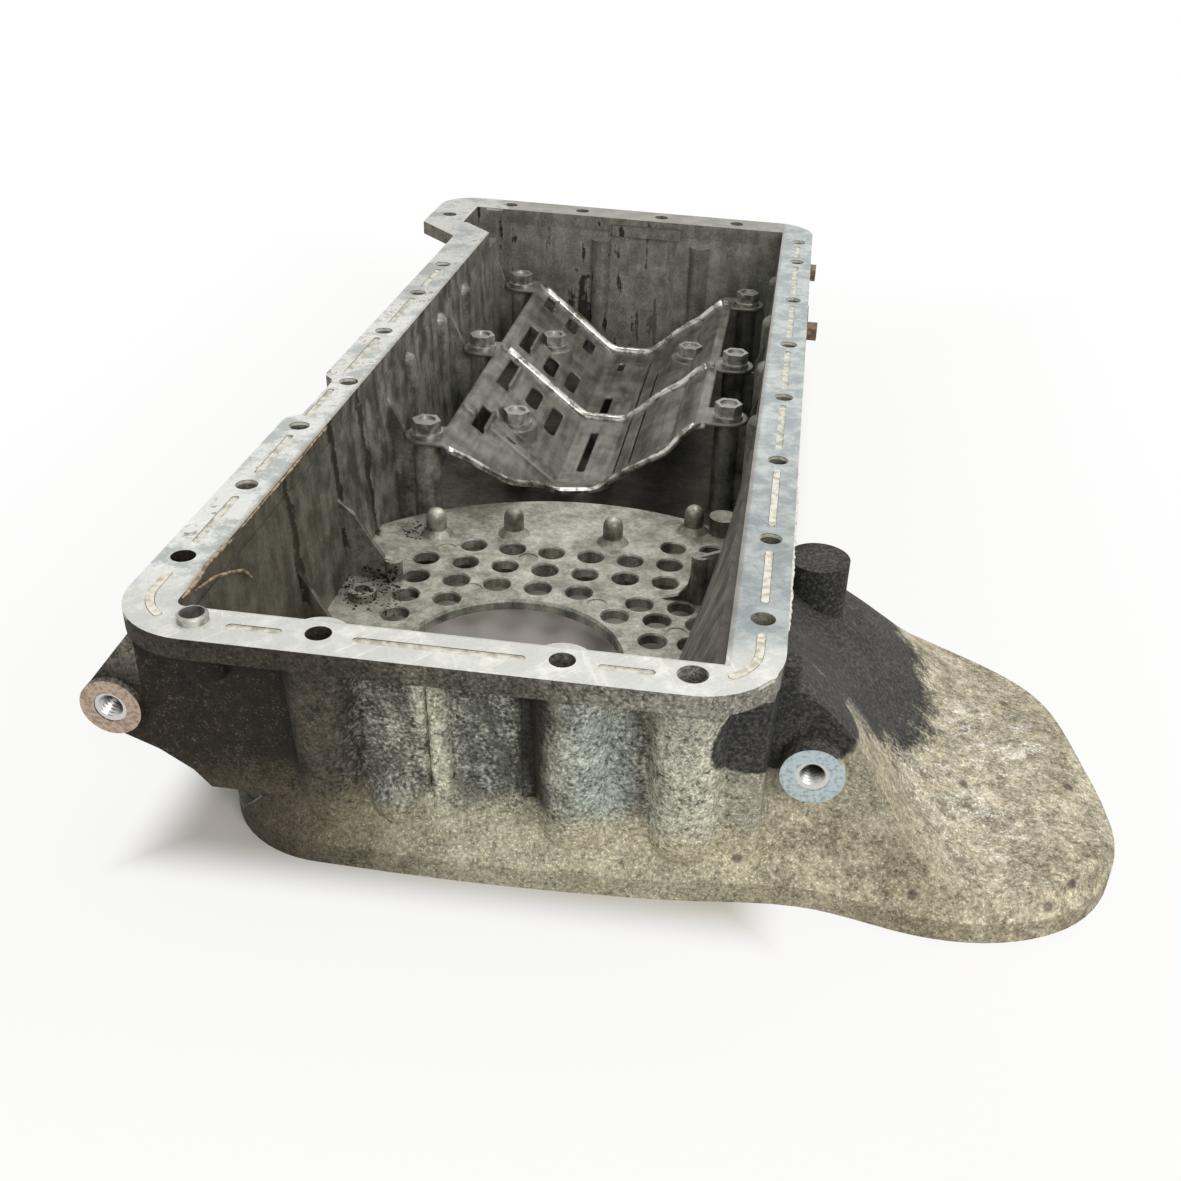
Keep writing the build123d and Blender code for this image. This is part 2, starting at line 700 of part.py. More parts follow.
def pressed_seat(x, y):
    """Level bolt seat pressed into a slope: disc, cup wall uphill and skirt downhill."""
    level = tray_height(x)
    near, far = y - 2 * seat_radius, y + 2 * seat_radius
    rim = 2 * (seat_radius + tray_thickness)
    reach = 14.0
    under = tray_skin(0, 2 * reach, near, far)
    over = tray_skin(2 * reach, tray_thickness, near, far)
    core = drill(x, y, level + reach, level - reach, 2 * seat_radius)
    uphill = drill(x, y, level + reach, level - tray_thickness, rim) & under
    downhill = drill(x, y, level, level - reach, rim) & over
    disc = drill(x, y, level, level - tray_thickness, rim)
    return (uphill - core) + (downhill - core) + disc, core


def windage_tray():
    start = tray_skin(0, tray_thickness, tray_near - tray_point - 10, tray_far + 5)
    beads = [tray_skin(bead_height, 0, tray_near + row - bead_width / 2, tray_near + row + bead_width / 2)
             for row in bead_rows]
    beads.append(tray_skin(bead_height, 0, tray_near, tray_near + bead_width))
    between_ears = Pos((tray_left + tray_right) / 2, tray_far / 2, 0) * Box(
        tray_right - tray_left - 4, 2 * tray_far, 2 * pan_height)
    beads = [bead & between_ears for bead in beads]
    sheet = start.fuse(*beads) & prism(tray_plan(), 0, -pan_height)
    for x, y in slope_seats:
        seat, core = pressed_seat(x, y)
        sheet = (sheet - core) + seat
    cuts = []
    for near, length in windows:
        middle = tray_near + near + length / 2
        cuts.append(Pos(window_x, middle, tray_seat) * Box(window_width, length, 44))
        low = tray_height(lip_x)
        lip = Pos(lip_x, middle) * Rectangle(lip_thickness, 0.85 * length)
        sheet += prism(lip, low + lip_height, low - 1.5)
    for x, middle, width, length in ovals:
        slot = Pos(x, tray_near + middle) * Rot(0, 0, 90) * SlotOverall(length, width)
        cuts.append(prism(slot, tray_seat, -pan_height))
    for x, near, length in slits:
        cuts.append(Pos(x, tray_near + near + length / 2, tray_bottom) * Box(slit_width, length, 2 * deck_rise))
    for x, y, seat in tray_places():
        cuts.append(drill(x, y, seat + 5, seat - 5, tray_bolt_bore))
    return sheet.cut(*cuts)


# ---- fasteners, inserts, sealant ------------------------------------------------------------
def tray_bolt(x, y, seat):
    """Flanged hex bolt, head up, seated on the tray."""
    washer = drill(x, y, seat + washer_thickness, seat, bolt_washer)
    head = Pos(x, y, seat) * extrude(RegularPolygon(bolt_hex / 2, 6, major_radius=False), bolt_head)
    dish = drill(x, y, seat + bolt_head, seat + bolt_head - bolt_dish, 0.72 * bolt_hex)
    return washer + head + drill(x, y, seat, seat - bolt_length, bolt_shank) - dish


def dowel_sleeve():
    """Locating sleeve pressed into the left end of the near row, with its mouth chamfered."""
    ring = drill(-dowel_offset, 0, sleeve_stand, -dowel_depth + 0.5, sleeve_outer)
    ring = chamfer(ring.edges().group_by(Axis.Z)[-1], sleeve_chamfer)
    return ring - drill(-dowel_offset, 0, sleeve_stand + 1, -dowel_depth, sleeve_bore)


def sealant_plan(x, near, far):
    """Plan of a cured sealant strip that lies in a groove along Y."""
    length = far - near - 2 * groove_gap - 2 * sealant_gap
    return Pos(x, (near + far) / 2) * Rot(0, 0, 90) * SlotOverall(length, groove_width - 2 * sealant_gap)


def corner_groove(side, width):
    """Plan of the groove that bends round a near corner of the block joint."""
    x, y = side * (flange_half_width - near_corner_radius), flange_near + near_corner_radius
    start = -corner_groove_sweep if side > 0 else 180.0
    bend = Pos(x, y) * SlotArc(CenterArc((0, 0), side_row - abs(x), start, corner_groove_sweep), width)
    tail = Pos(side * side_row, y + corner_groove_tail / 2) * Rot(0, 0, 90) * SlotOverall(
        corner_groove_tail + width, width)
    return bend + tail


def sealant_strips():
    """Cured sealant left in two straight grooves and in both corner grooves."""
    plans = [sealant_plan(side_row, near, far) for near, far in zip(right_rows[:2], right_rows[1:3])]
    plans += [corner_groove(side, groove_width - 2 * sealant_gap) for side in (-1, 1)]
    return [prism(outline, sealant_stand, -groove_depth) for outline in plans]


def thread_insert(x, z):
    sleeve = along_y(x, boss_face + 0.3, z, insert_outer / 2, insert_depth - 1)
    return sleeve - along_y(x, boss_face - 1, z, insert_bore / 2, insert_depth + 2)


def side_clip():
    """Bent steel strip held on the right wall by its bolt."""
    y, z = side_seat_y[0], side_seat_z[0]
    strip = Pos(side_seat_face + clip_thickness / 2, y, z) * Box(clip_thickness, clip_length, clip_width)
    return strip - along_x(side_seat_face - 1, y, z, side_shank / 2 + shank_clearance, clip_thickness + 2)


def side_bolt(y, z, face):
    head = Pos(face, y, z) * Rot(0, 90, 0) * extrude(
        RegularPolygon(side_hex / 2, 6, major_radius=False), side_head)
    length = side_shank_length if face == side_seat_face else side_shank_length + clip_thickness - 1
    return head + along_x(face - length, y, z, side_shank / 2, length + 1)


def main():
    os.makedirs("parts", exist_ok=True)
    nodes = {"pan_casting": pan_casting(), "windage_tray": windage_tray(), "dowel_sleeve": dowel_sleeve(),
             "thread_insert_left": thread_insert(*left_boss), "thread_insert_right": thread_insert(*right_boss),
             "side_clip": side_clip(),
             "side_bolt_mid": side_bolt(side_seat_y[0], side_seat_z[0], side_seat_face + clip_thickness),
             "side_bolt_far": side_bolt(side_seat_y[1], side_seat_z[1], side_seat_face)}
    for number, (x, y, seat) in enumerate(tray_places(), 1):
        nodes[f"tray_bolt_{number}"] = tray_bolt(x, y, seat)
    for number, strip in enumerate(sealant_strips(), 1):
        nodes[f"sealant_strip_{number}"] = strip
    for name, solid in nodes.items():
        export_step(solid, f"parts/{name}.step")


main()
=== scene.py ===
import math
import random

import bmesh
import bpy
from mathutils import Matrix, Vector
from mathutils.bvhtree import BVHTree


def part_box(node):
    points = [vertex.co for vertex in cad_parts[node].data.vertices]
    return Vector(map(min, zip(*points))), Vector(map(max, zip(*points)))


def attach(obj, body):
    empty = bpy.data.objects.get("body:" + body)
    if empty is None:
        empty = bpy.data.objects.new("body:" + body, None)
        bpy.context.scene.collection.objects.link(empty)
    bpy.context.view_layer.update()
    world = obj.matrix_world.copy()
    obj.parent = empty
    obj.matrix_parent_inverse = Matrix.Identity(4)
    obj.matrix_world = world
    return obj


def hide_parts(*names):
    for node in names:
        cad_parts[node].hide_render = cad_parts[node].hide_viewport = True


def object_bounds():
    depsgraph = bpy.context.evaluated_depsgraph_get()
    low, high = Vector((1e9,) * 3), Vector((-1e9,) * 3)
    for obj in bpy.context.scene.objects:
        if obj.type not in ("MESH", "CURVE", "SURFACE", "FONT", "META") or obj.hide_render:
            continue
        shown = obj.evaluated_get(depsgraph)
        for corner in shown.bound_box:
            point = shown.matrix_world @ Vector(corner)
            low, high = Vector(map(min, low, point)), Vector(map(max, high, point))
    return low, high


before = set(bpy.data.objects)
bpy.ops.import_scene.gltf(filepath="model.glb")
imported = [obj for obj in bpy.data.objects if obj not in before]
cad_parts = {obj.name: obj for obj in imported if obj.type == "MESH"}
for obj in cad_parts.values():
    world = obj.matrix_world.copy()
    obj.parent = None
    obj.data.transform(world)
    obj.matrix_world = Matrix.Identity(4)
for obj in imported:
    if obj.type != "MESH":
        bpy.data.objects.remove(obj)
cad_low, cad_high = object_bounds()


# ---- Pan casting ----------------------------------------------------------------------------
# One sand-grained aluminium casting. The joint to the engine block is machined bright, the inside
# is washed with old oil, and the outside carries road dust, darker where oil mist has baked on.
mm = 0.001


class Wire:
    """One socket of a material. Arithmetic on it adds Math nodes."""

    def __init__(self, tree, socket=None):
        self.tree = tree
        self.socket = socket

    def add(self, kind, settings=None, **inputs):
        """A node of any kind: settings first, then the values or wires of its sockets.

        A socket is named with _ for a space, or numbered as i0, i1 and so on.
        """
        made = self.tree.nodes.new(kind)
        settings = dict(settings or {})
        stops = settings.pop("stops", None)
        output = settings.pop("output", 0)
        for name, value in settings.items():
            setattr(made, name, value)
        if stops:
            ramp = made.color_ramp
            while len(ramp.elements) < len(stops):
                ramp.elements.new(0.5)
            for element, (position, colour) in zip(ramp.elements, stops):
                element.position = position
                element.color = (*colour, 1)
        for name, value in inputs.items():
            numbered = name[0] == "i" and name[1:].isdigit()
            socket = made.inputs[int(name[1:]) if numbered else name.replace("_", " ")]
            if isinstance(value, Wire):
                self.tree.links.new(value.socket, socket)
            elif socket.type == "RGBA":
                socket.default_value = (*value, 1)
            else:
                socket.default_value = value
        return Wire(self.tree, made.outputs[output] if made.outputs else None)

    def maths(self, operation, *others):
        """This value and others through a Math node."""
        return self.add("ShaderNodeMath", {"operation": operation}, i0=self,
                        **{f"i{number}": other for number, other in enumerate(others, 1)})

    def flipped(self, operation, first):
        """A number and this value through a Math node, the number first."""
        return self.add("ShaderNodeMath", {"operation": operation}, i0=first, i1=self)

    def __add__(self, other):
        return self.maths("ADD", other)

    def __radd__(self, other):
        return self.flipped("ADD", other)

    def __sub__(self, other):
        return self.maths("SUBTRACT", other)

    def __rsub__(self, other):
        return self.flipped("SUBTRACT", other)

    def __mul__(self, other):
        return self.maths("MULTIPLY", other)

    def __rmul__(self, other):
        return self.flipped("MULTIPLY", other)

    def __truediv__(self, other):
        return self.maths("DIVIDE", other)

    def __rtruediv__(self, other):
        return self.flipped("DIVIDE", other)

    def __gt__(self, other):
        return self.maths("GREATER_THAN", other)

    def __lt__(self, other):
        return self.maths("LESS_THAN", other)

    def unsigned(self):
        """The same value without its sign."""
        return self.maths("ABSOLUTE")

    def bounded(self):
        """The same value held between 0 and 1."""
        return self.add("ShaderNodeClamp", Value=self)

    def step(self, low, high):
        """0 below low, 1 above high, eased between; low may be the larger."""
        return self.add("ShaderNodeMapRange", {"interpolation_type": "SMOOTHSTEP"}, Value=self,
                        From_Min=low, From_Max=high)

    def tint(self, under, over):
        """Colour: under where this value is 0, over where it is 1."""
        return self.add("ShaderNodeMix", {"data_type": "RGBA", "output": 2}, i0=self, i6=under, i7=over)

    def shaded(self, amount):
        """The colour made lighter or darker by an amount."""
        return self.add("ShaderNodeVectorMath", {"operation": "SCALE"}, i0=self, Scale=amount)

    def ramp(self, low, high, *stops):
        """Colour along this value, from stops given as millimetres and a colour."""
        spaced = [((value - low) / (high - low), colour) for value, colour in stops]
        part = self.add("ShaderNodeMapRange", Value=self, From_Min=low * mm, From_Max=high * mm)
        return part.add("ShaderNodeValToRGB", {"stops": spaced}, Fac=part)

    def split(self):
        """The x, y and z of this place or direction."""
        return [self.add("ShaderNodeSeparateXYZ", {"output": axis}, Vector=self) for axis in range(3)]

    def noise(self, size, detail=4.0, roughness=0.5):
        """Noise round 0.5 at this place, with patches of a size in millimetres."""
        return self.add("ShaderNodeTexNoise", Vector=self, Scale=1 / (size * mm), Detail=detail,
                        Roughness=roughness)

    def near(self, x, y, z, radius, blur):
        """1 inside a ball given in millimetres, fading to 0 over the blur round it."""
        gap = self.add("ShaderNodeVectorMath", {"operation": "DISTANCE", "output": 1},
                       i0=self, i1=(x * mm, y * mm, z * mm))
        return gap.step((radius + blur) * mm, radius * mm)

    def stretched(self, x, y, z):
        """The place scaled along each axis, for streaks."""
        return self.add("ShaderNodeVectorMath", {"operation": "MULTIPLY"}, i0=self, i1=(x, y, z))

    def turned(self, degrees):
        """The place turned round the upright axis, for marks that run askew."""
        return self.add("ShaderNodeVectorRotate", {"rotation_type": "Z_AXIS"}, Vector=self,
                        Angle=math.radians(degrees))


def new_finish(name):
    """An empty material and a first wire on its tree."""
    finish = bpy.data.materials.new(name)
    finish.use_nodes = True
    finish.node_tree.nodes.clear()
    return finish, Wire(finish.node_tree)


def place_in(wire):
    """Where a point lies in the frame."""
    return wire.add("ShaderNodeTexCoord", {"output": 3})


def facing_in(wire):
    """Which way the surface faces at a point."""
    return wire.add("ShaderNodeNewGeometry", {"output": 1})


def surface(wire, colour, roughness, bump, height, strength, metallic=0.0, specular=0.5, coat=0.0,
            rounding=0.0):
    """Surface from the colour, gloss and relief wires, led to the output; rounding softens edges."""
    relief = {"Height": bump, "Distance": height, "Strength": strength}
    if rounding:
        relief["Normal"] = wire.add("ShaderNodeBevel", {"samples": 3}, Radius=rounding)
    shader = wire.add("ShaderNodeBsdfPrincipled", Base_Color=colour, Roughness=roughness,
                      Metallic=metallic, Specular_IOR_Level=specular, Coat_Weight=coat,
                      Normal=wire.add("ShaderNodeBump", **relief))
    wire.add("ShaderNodeOutputMaterial", Surface=shader)


def dress(node, finish):
    """Gives a CAD node its finish."""
    node.data.materials.clear()
    node.data.materials.append(finish)


# what the finish goes by: place and facing, six sizes of noise, and the faces of the casting
cast_finish, cast = new_finish("weathered_cast_aluminium")
place = place_in(cast)
x, y, z = place.split()
nx, ny, nz = facing_in(cast).split()
fine = place.noise(0.8, 1)
grain = place.noise(1.4, 2, 0.6)
blotch = place.noise(4, 3, 0.6)
mottle = place.noise(13, 4, 0.6)
patch = place.noise(48, 3)
streak = place.stretched(1, 1, 0.07).noise(7, 4, 0.6)
wander = (mottle - 0.5) * 0.022 + (patch - 0.5) * 0.02
flange_x = x.unsigned()
joint_skin = 0.5 * mm
groove_floor = 1.6 * mm
flange_thickness = 12.5 * mm
wall_draft = 0.075
left_wall = 96.8 * mm
right_wall = 95.8 * mm
near_wall = 7.0 * mm
far_wall = 545 * mm
far_wall_foot = 534 * mm
far_lip_start = 540 * mm
far_lip_end = 563 * mm
chamber_wall = 119 * mm
chamber_start = 488 * mm
inside_floor = -93.5 * mm
deck_region = -60 * mm
lower_rim = -91 * mm
lower_joint = -99.5 * mm


def machined_joint():
    """The milled joint: near white at the gearbox end, partly a painted highlight; blue-grey by the
    wing, chalky on the left.
    """
    where = (z > -joint_skin) * (nz > 0.9)
    on_left = x.step(-80 * mm, -94 * mm)
    on_right = x.step(80 * mm, 96 * mm)
    scratch = place.turned(38).stretched(1, 0.03, 1).noise(1.1, 2).step(0.60, 0.72)
    scrape = place.turned(-24).stretched(1, 0.05, 1).noise(2.2, 3).step(0.62, 0.74)
    cloud = (mottle * 0.7 + blotch * 0.3).step(0.40, 0.62)
    colour = cloud.tint((0.33, 0.37, 0.37), (0.55, 0.58, 0.55))
    chalk = (mottle + patch * 0.7 + grain * 0.2).step(0.82, 1.02)
    colour = on_left.tint(colour, chalk.tint((0.44, 0.46, 0.43), (0.72, 0.72, 0.67)))
    colour = colour.shaded(1 - y.step(210 * mm, 90 * mm) * on_right * 0.2)
    rusty = (mottle * 0.5 + grain * 0.5).step(0.56, 0.60) * on_left * y.step(150 * mm, 220 * mm)
    colour = (rusty * 0.6).tint(colour, (0.21, 0.15, 0.09))
    # the near row of the joint is painted near white: pale machined metal with scrapes, and partly a
    # painted highlight
    wiped_and_highlight = (mottle * 0.6 + scrape * 0.25 + blotch * 0.2).step(0.36, 0.58)
    wiped_and_highlight_colour = wiped_and_highlight.tint((0.57, 0.572, 0.525), (0.79, 0.78, 0.715))
    colour = y.step(34 * mm, 10 * mm).tint(colour, wiped_and_highlight_colour)
    colour = colour.shaded(1 - y.step(300 * mm, 380 * mm) * on_left * 0.2)
    colour = colour.shaded(1 + (scratch - scrape) * 0.16 + (grain - 0.5) * 0.25)
    crumb = (mottle * 0.6 + blotch * 0.4).step(0.60, 0.66) * x.step(-84 * mm, -96 * mm)
    colour = (crumb * 0.7).tint(colour, (0.16, 0.13, 0.09))
    inner_edge = flange_x.step(96.5 * mm, 94.2 * mm) * y.step(12 * mm, 24 * mm)
    return where, (inner_edge * 0.6).tint(colour, (0.24, 0.20, 0.14))


def groove_remains():
    """The joint's grooves, floors and walls, which hold chalky remains and dirt."""
    side_rows = (flange_x > 98.5 * mm) * (flange_x < 110 * mm) * (y > 46 * mm)
    off_the_bolts = (flange_x < 33 * mm) + (flange_x > 49 * mm)
    near_rows = (y > -3 * mm) * (y < 3 * mm) * off_the_bolts
    in_groove = ((nz > 0.5) + side_rows + near_rows).bounded()
    where = (z < -0.3 * mm) * (z > -groove_floor) * in_groove
    crumbs = (blotch * 0.8 + grain * 0.2).step(0.36, 0.60)
    return where, crumbs.tint((0.45, 0.42, 0.34), (0.76, 0.74, 0.65))


def oily_inside():
    """The inside: warm grey walls with dark runs, a paler deck, and grit in its left corner."""
    drafted = z * -wall_draft
    bay = (x - drafted) > -left_wall
    chamber = (x > -chamber_wall) * (y > chamber_start) * (nx > -0.5)
    between_walls = (bay + chamber).bounded() * ((x + drafted) < right_wall)
    where = between_walls * ((y - drafted) > near_wall) * (y < far_wall) * (z > inside_floor)
    where = where * ((y < far_wall_foot) + (ny < 0.5)).bounded()
    far_lip = (ny < -0.5) * (y > far_lip_start) * (y < far_lip_end) * between_walls
    where = (where + far_lip).bounded()

    far_end = y.step(380 * mm, 520 * mm)
    wash = (streak * 0.45 + mottle * 0.55).step(0.38, 0.62)
    wash = wash + (0.5 - wash) * (far_end * 0.55)
    colour = wash.tint((0.10, 0.097, 0.075), (0.33, 0.325, 0.275))
    browned = y.step(250 * mm, 90 * mm) * x.step(-60 * mm, -86 * mm)
    colour = (browned * 0.7).tint(colour, (0.12, 0.10, 0.072))
    colour = colour.shaded(1 + far_end * 0.12)
    colour = colour.shaded(1 - x.step(60 * mm, 84 * mm) * 0.18)
    # painted shade: the upward ledge just under the joint face is painted as dark as the shaded wall
    # beside it
    ledge = (nz > 0.5) * (z > -10 * mm)
    colour = (ledge * 0.9).tint(colour, (0.085, 0.078, 0.06))

    level_part = nz.step(0.5, 0.9) * (z < deck_region)
    deck = (blotch * 0.5 + mottle * 0.5).step(0.35, 0.65)
    colour = level_part.tint(colour, deck.tint((0.26, 0.255, 0.20), (0.46, 0.455, 0.38)))
    # painted shadow of the tray: the deep floor beneath it is painted nearly black
    deep_floor_shadow = level_part * (z < -84 * mm)
    colour = (deep_floor_shadow * 0.7).tint(colour, (0.035, 0.030, 0.020))

    black_run = (streak * 0.6 + mottle * 0.4).step(0.535, 0.59)
    black_run = black_run * y.step(500 * mm, 535 * mm) * x.step(60 * mm, -20 * mm)
    colour = (black_run * 0.9).tint(colour, (0.008, 0.007, 0.005))
    brown_run = streak.step(0.58, 0.68) * x.step(-82 * mm, -90 * mm) * 0.35
    swerve = (mottle - 0.5) * 0.02 + (grain - 0.5) * 0.006
    for drip_row in (112 * mm, 168 * mm, 208 * mm):
        drip = (y + swerve - drip_row).unsigned().step(3.4 * mm, 1.6 * mm)
        brown_run = brown_run + drip * x.step(-84 * mm, -89 * mm) * 1.5
    colour = (brown_run.bounded() * 0.85).tint(colour, (0.022, 0.016, 0.009))

    grit = place.near(-74, 150, -75, 14, 16) + place.near(-68, 215, -75, 8, 14)
    grit = (grit * 0.45 + grain * 0.5 + blotch * 0.3).step(0.86, 0.90) * (z < deck_region)
    colour = grit.tint(colour, (0.010, 0.008, 0.006))
    return where, colour.shaded(1 + (grain - 0.5) * 1.1 + (mottle - 0.5) * 0.9)


def end_wall():
    """Gearbox end: sooty left, grey crusted metal, a pale ridge, and painted light and shade: black
    hollows, pale columns.
    """
    # colour across the end: real soot on the left, painted shade in the hollows and on the columns' left
    # sides, painted light on the column fronts
    colour = (x + wander * 0.6).ramp(
        -110, 125, (-110, (0.020, 0.014, 0.008)), (-57, (0.016, 0.011, 0.006)),
        (-48, (0.074, 0.062, 0.044)), (-36, (0.066, 0.057, 0.042)), (-31, (0.035, 0.030, 0.022)),
        (-24, (0.13, 0.127, 0.104)), (-9, (0.16, 0.157, 0.13)), (-4, (0.66, 0.65, 0.50)),
        (-2, (0.66, 0.65, 0.50)), (4, (0.16, 0.165, 0.14)), (22, (0.12, 0.125, 0.105)),
        (29, (0.018, 0.016, 0.011)), (34, (0.035, 0.031, 0.022)), (41, (0.30, 0.305, 0.25)),
        (52, (0.43, 0.47, 0.42)), (62, (0.30, 0.325, 0.29)), (68, (0.11, 0.105, 0.08)),
        (76, (0.48, 0.475, 0.385)), (92, (0.48, 0.47, 0.38)), (101, (0.30, 0.29, 0.23)),
        (125, (0.36, 0.34, 0.26)))
    # painted shadow of the flange: the end wall is painted darker, in patches, just under it
    flange_shadow = z.step(-34 * mm, -10 * mm) * (0.4 + patch * 0.6)
    colour = colour.shaded(1 - flange_shadow * 0.4)
    # the recess near x 31 mm keeps its painted shade, with no crust on it
    hollow = (x - 31 * mm).unsigned().step(8 * mm, 4 * mm)
    crusted = x.step(-40 * mm, -22 * mm) * x.step(100 * mm, 60 * mm) * (1 - hollow)
    crust = (place.stretched(1, 1, 0.5).noise(11, 5, 0.7) * 0.65 + grain * 0.35).step(0.47, 0.63)
    colour = colour.shaded(1 - crusted * 0.2)
    colour = (crust * crusted * 0.5).tint(colour, (0.50, 0.515, 0.44))
    soot_specks = (fine * 0.5 + blotch * 0.5).step(0.56, 0.64) * x.step(-20 * mm, -34 * mm)
    return (soot_specks * 0.4).tint(colour, (0.085, 0.078, 0.062))


def outer_walls():
    """All outer walls: the gearbox end, its khaki foot, the flange's edge, the flanks, the left arm."""
    foot_colour = (x + wander).ramp(
        -110, 125, (-110, (0.034, 0.026, 0.017)), (-60, (0.088, 0.072, 0.049)),
        (-28, (0.22, 0.195, 0.13)), (5, (0.46, 0.43, 0.31)), (125, (0.475, 0.44, 0.305)))
    foot_line = z + (mottle - 0.5) * 0.03 + (blotch - 0.5) * 0.012
    colour = foot_line.step(-60 * mm, -78 * mm).tint(end_wall(), foot_colour)

    flange_edge = (z > -flange_thickness) * (ny < -0.2) * y.step(24 * mm, 10 * mm)
    edge_colour = x.ramp(-110, 110, (-110, (0.05, 0.042, 0.03)), (-30, (0.035, 0.029, 0.02)),
                         (30, (0.09, 0.087, 0.068)), (70, (0.20, 0.19, 0.155)),
                         (110, (0.22, 0.215, 0.185)))
    colour = (flange_edge * 0.85).tint(colour, edge_colour)

    flank = (mottle * 0.45 + patch * 0.4 + streak * 0.15).step(0.36, 0.64)
    flank_colour = flank.tint((0.125, 0.112, 0.087), (0.225, 0.215, 0.18))
    colour = y.step(40 * mm, 100 * mm).tint(colour, flank_colour)

    lit_side = (nz * 0.5 + (z + 46 * mm) * 20).step(0.1, 0.6)
    arm_colour = lit_side.tint((0.022, 0.017, 0.011), (0.19, 0.172, 0.14))
    on_arm = (x < -112 * mm) * (y < 60 * mm)
    return (on_arm * 0.85).tint(colour, arm_colour)


def dusty_wing():
    """The wing under dry road dust, browned in bands and scuffed pale in two places."""
    where = (nz.step(-0.1, 0.3) + z.step(-60 * mm, -75 * mm)).bounded()
    where = (x + wander).step(108 * mm, 120 * mm) * (y < 230 * mm) * where
    dust = (blotch * 0.5 + mottle * 0.5).step(0.36, 0.64)
    colour = dust.tint((0.31, 0.275, 0.19), (0.52, 0.465, 0.335))
    scuff_places = place.near(203, 96, -79, 12, 20) + place.near(182, 44, -76, 16, 26) * 0.8
    scuffs = place.turned(52).stretched(1, 0.25, 1).noise(3, 4, 0.7).step(0.49, 0.62)
    colour = (scuffs * scuff_places * 0.6).tint(colour, (0.78, 0.76, 0.68))
    brown_band = (patch + (mottle - 0.5) * 0.6).step(0.52, 0.66)
    return where, (brown_band * 0.4).tint(colour, (0.24, 0.20, 0.13))


def baked_oil():
    """Oil mist baked on round the stub, in the nook behind the right boss and on the corner lug."""
    across = (x - 134 * mm) / (44 * mm)
    along = (y - 112 * mm) / (76 * mm)
    reach = across * across + along * along + (mottle - 0.5) * 1.1 + (grain - 0.5) * 0.45
    beside_wall = (x > 110 * mm) * (y - 0.2 * x).step(-4 * mm, 10 * mm) * (z < -10 * mm)
    nook = place.near(119, 22, -22, 20, 10) + place.near(104, 4, -28, 9, 9)
    nook = (nook + (blotch - 0.5) * 0.8).step(0.35, 0.6) * (z < -10 * mm)
    lug = place.near(116, 21, -7, 10, 4)
    where = (reach.step(1.25, 0.78) * beside_wall + nook + lug).bounded()
    return where * 0.93, grain.step(0.40, 0.66).tint((0.008, 0.009, 0.011), (0.040, 0.040, 0.038))


def sand_grain():
    """Light and dark of the cast skin, as a share of the colour, coarsest at the gearbox end."""
    coarse = y.step(40 * mm, 20 * mm) * x.step(112 * mm, 96 * mm) * z.step(-80 * mm, -66 * mm)
    skin = 0.92 + (grain - 0.5) * (2.0 + coarse * 0.9) + (blotch - 0.5) * (0.85 + coarse * 1.3)
    skin = skin + (mottle - 0.5) * 0.9 + fine.step(0.58, 0.68) * (0.75 + coarse * 0.05)
    return skin.maths("MAXIMUM", 0.22)


def blow_holes():
    """Small gas pits in the wing and the foot."""
    pits = place.near(212, 125.4, -81.1, 1.2, 1.4)
    for spot in ((231.7, 71.1, -81.3), (225.5, 16.1, -83.1), (167.7, 2.1, -84.8), (216.7, 7.5, -87.6),
                 (104.8, 8.2, -82.7), (189, 60, -77), (171, 118, -69)):
        pits = pits + place.near(*spot, 1.2, 1.4)
    return pits


outside_colour = outer_walls()
for where, layer in (dusty_wing(), baked_oil()):
    outside_colour = where.tint(outside_colour, layer)
rim_side = (z < lower_rim) * nz.step(0.5, 0.2)
outside_colour = outside_colour.shaded(1 - rim_side * 0.2).shaded(sand_grain())
pits = blow_holes()
outside_colour = (pits.bounded() * 0.7).tint(outside_colour, (0.05, 0.045, 0.035))

# turned faces of the two gearbox bosses, brownish on the left and bluish on the right
boss_front = (y < 6.4 * mm) * (ny < -0.9) * (z < -28 * mm) * (z > -58 * mm)
left_face = boss_front * (x < -110 * mm)
right_face = boss_front * (x > 115 * mm)
left_face_colour = grain.step(0.35, 0.6).tint((0.32, 0.23, 0.165), (0.52, 0.41, 0.32))
right_face_colour = grain.step(0.3, 0.6).tint((0.31, 0.38, 0.40), (0.50, 0.58, 0.60))
outside_colour = left_face.tint(outside_colour, left_face_colour)
outside_colour = right_face.tint(outside_colour, right_face_colour)

inside, inside_colour = oily_inside()
groove, groove_colour = groove_remains()
machined, joint_colour = machined_joint()
under_rim = (z < lower_joint) * (nz < -0.9)
colour = inside.tint(outside_colour, inside_colour)
colour = under_rim.tint(colour, (0.42, 0.42, 0.39))
colour = groove.tint(colour, groove_colour)
colour = machined.tint(colour, joint_colour)
bare = (machined + under_rim + left_face + right_face).bounded()
gloss = (0.80 + inside * -0.34 + bare * -0.28 + (blotch - 0.5) * 0.25).bounded()
relief = (grain * 0.55 + fine * 0.45) * (1 - bare * 0.85) * (1 - inside * 0.6) + pits * -0.9
surface(cast, colour, gloss, relief, height=0.55 * mm, strength=0.75,
        metallic=bare * 0.35 + inside * 0.45, specular=0.3)
dress(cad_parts["pan_casting"], cast_finish)


